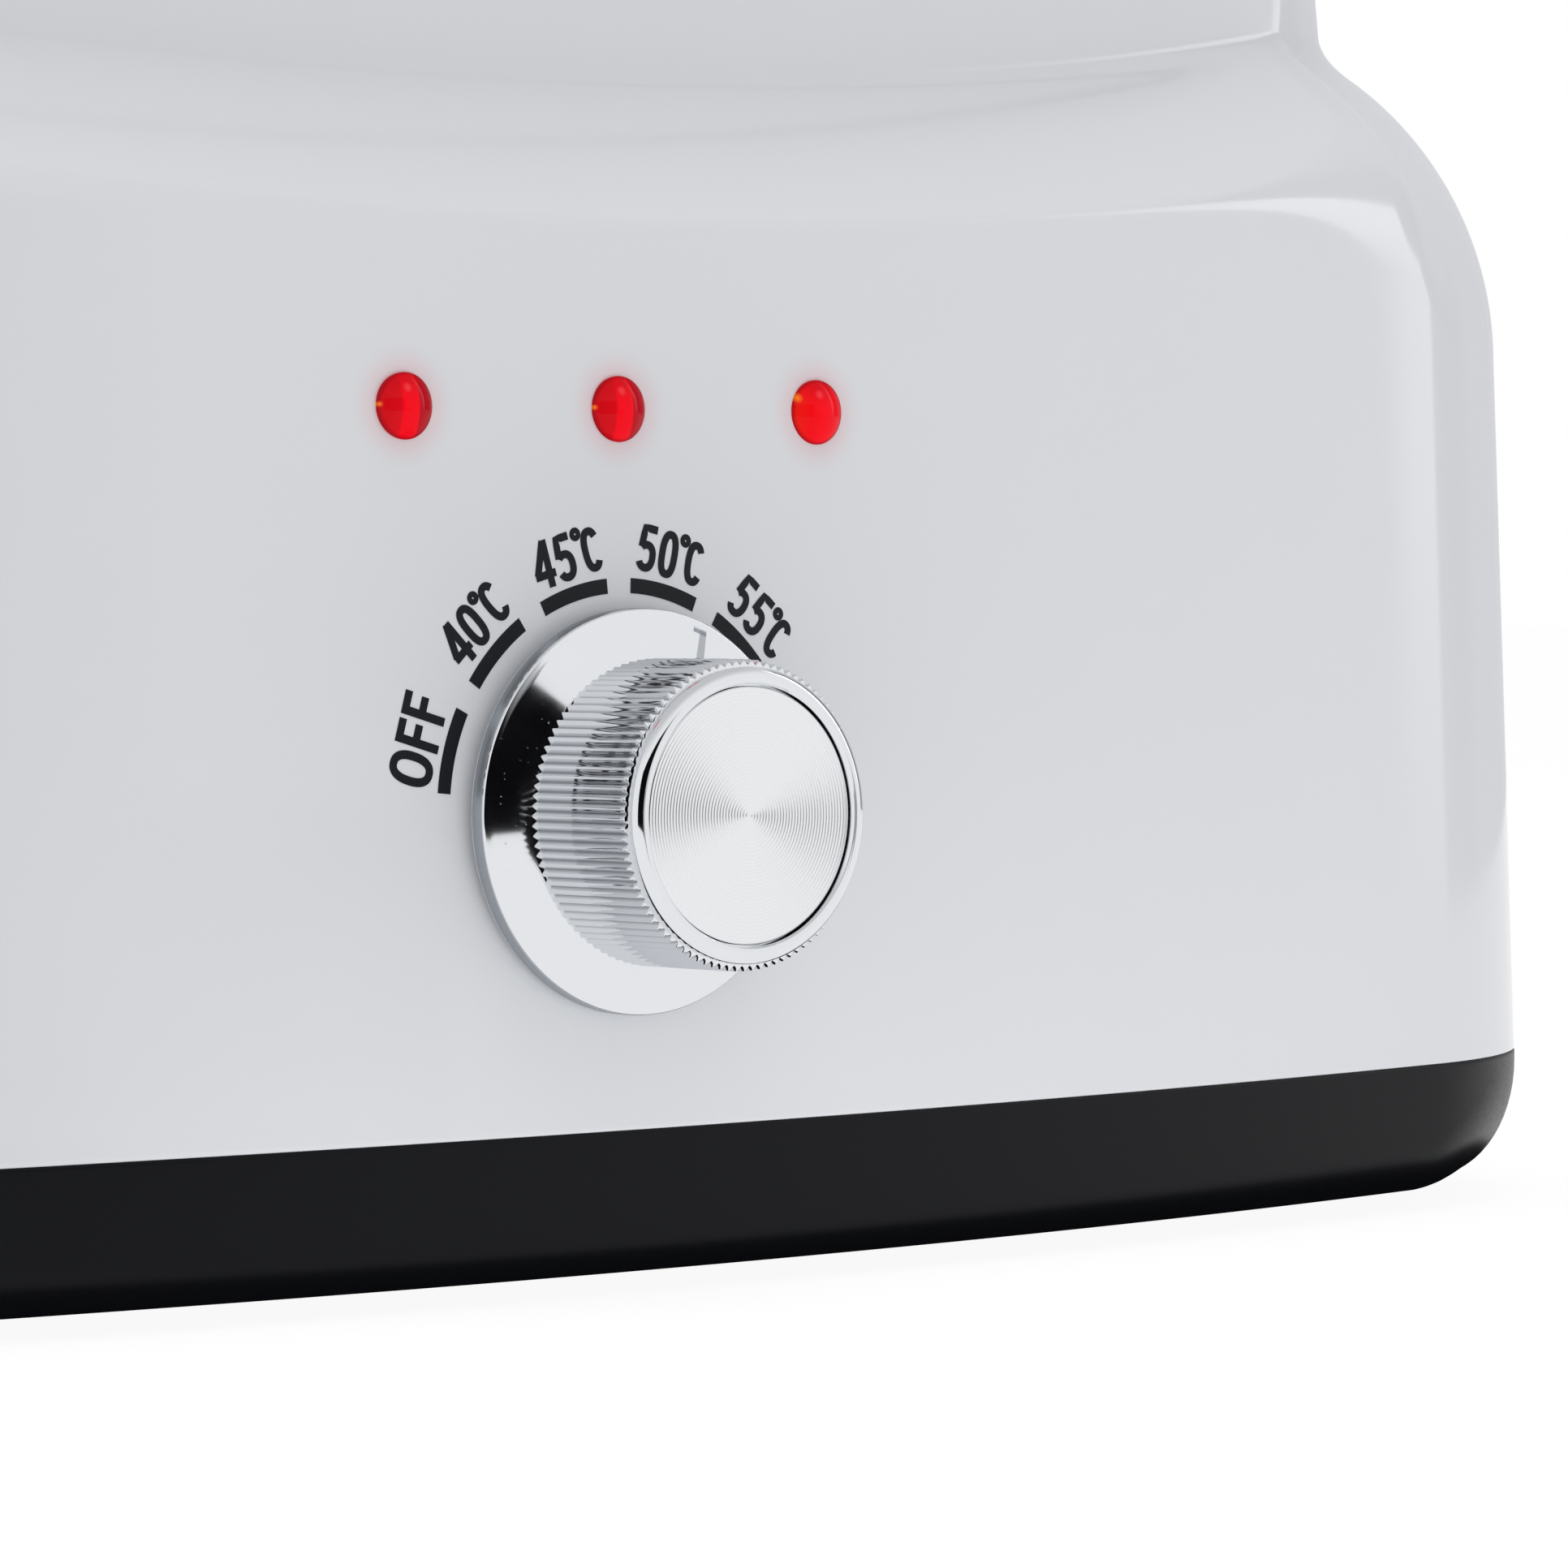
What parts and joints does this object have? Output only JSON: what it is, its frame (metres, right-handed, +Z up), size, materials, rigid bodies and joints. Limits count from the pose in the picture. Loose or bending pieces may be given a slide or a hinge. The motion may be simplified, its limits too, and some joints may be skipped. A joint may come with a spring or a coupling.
{
  "type": "paraffin wax bath",
  "caption": "Electric paraffin wax bath with a bowed white housing on a black base, a chrome thermostat dial, red indicator lenses, a hanging tank, grille and lift-off lid.",
  "frame": {"origin": "on the standing surface, under the middle of the whole part's box", "axes": "+Z up, the dial's front faces -Y, +X to the right seen from the front"},
  "size_m": [0.328, 0.2496, 0.2075],
  "materials": {
    "white_abs": "gloss moulded",
    "black_abs": "satin moulded",
    "rubber": "matt moulded",
    "zinc_steel": "zinc plated",
    "tank_aluminium": "drawn, satin",
    "silicone": "matt moulded",
    "ceramic_fibre": "felted",
    "mica": "pressed sheet",
    "sheet_steel": "cold rolled",
    "brass": "machined",
    "black_phenolic": "moulded",
    "copper": "drawn",
    "thermostat_resin": "moulded",
    "red_lens": "clear red moulded",
    "led_epoxy": "clear cast",
    "circuit_board": "solder mask",
    "nylon": "moulded",
    "lead_brown": "extruded",
    "lead_white": "braided",
    "lead_blue": "extruded",
    "lead_red": "extruded",
    "chrome_abs": "chrome plated",
    "turned_aluminium": "fine turned rings",
    "spring_steel": "spring tempered",
    "grille_nylon": "moulded"
  },
  "bodies": {
    "bath": {"housing": "white_abs", "base_pan": "black_abs", "rubber_feet": "rubber", "base_screws": "zinc_steel", "wax_tank": "tank_aluminium", "rim_gasket": "silicone", "insulation_sleeve": "ceramic_fibre", "heating_element": "mica", "heater_clamp_plate": "sheet_steel", "clamp_nuts": "brass", "thermal_cutout": "black_phenolic", "cutout_screws": "zinc_steel", "sensing_bulb": "copper", "bulb_clips": "sheet_steel", "capillary_tube": "copper", "thermostat_body": "thermostat_resin", "thermostat_nut": "zinc_steel", "lens_left": "red_lens", "lens_centre": "red_lens", "lens_right": "red_lens", "lamp_leds": "led_epoxy", "indicator_board": "circuit_board", "board_screws": "zinc_steel", "mains_inlet": "black_phenolic", "inlet_pins": "brass", "inlet_screws": "zinc_steel", "terminal_block": "nylon", "terminal_screws": "brass", "block_screws": "zinc_steel", "mains_leads": "lead_brown", "heater_leads": "lead_white", "thermostat_leads": "lead_blue", "lamp_leads": "lead_red"},
    "dial": {"dial_knob": "chrome_abs", "knob_disc": "turned_aluminium", "shaft_clip": "spring_steel", "thermostat_shaft": "zinc_steel"},
    "lid": {"lid": "white_abs", "lid_handle": "black_abs", "handle_screws": "zinc_steel"},
    "grille": {"tank_grille": "grille_nylon"}
  },
  "joints": [
    {"name": "dial_turn", "type": "hinge", "parent": "bath", "child": "dial", "pos_m": [0, -0.10521, 0.0479], "axis": [0, 1, 0], "range_deg": [-96, 20]},
    {"name": "lid_lift", "type": "slide", "parent": "bath", "child": "lid", "axis": [0, 0, 1], "range_m": [0, 0.15]},
    {"name": "grille_lift", "type": "slide", "parent": "bath", "child": "grille", "axis": [0, 0, 1], "range_m": [0, 0.06]}
  ]
}
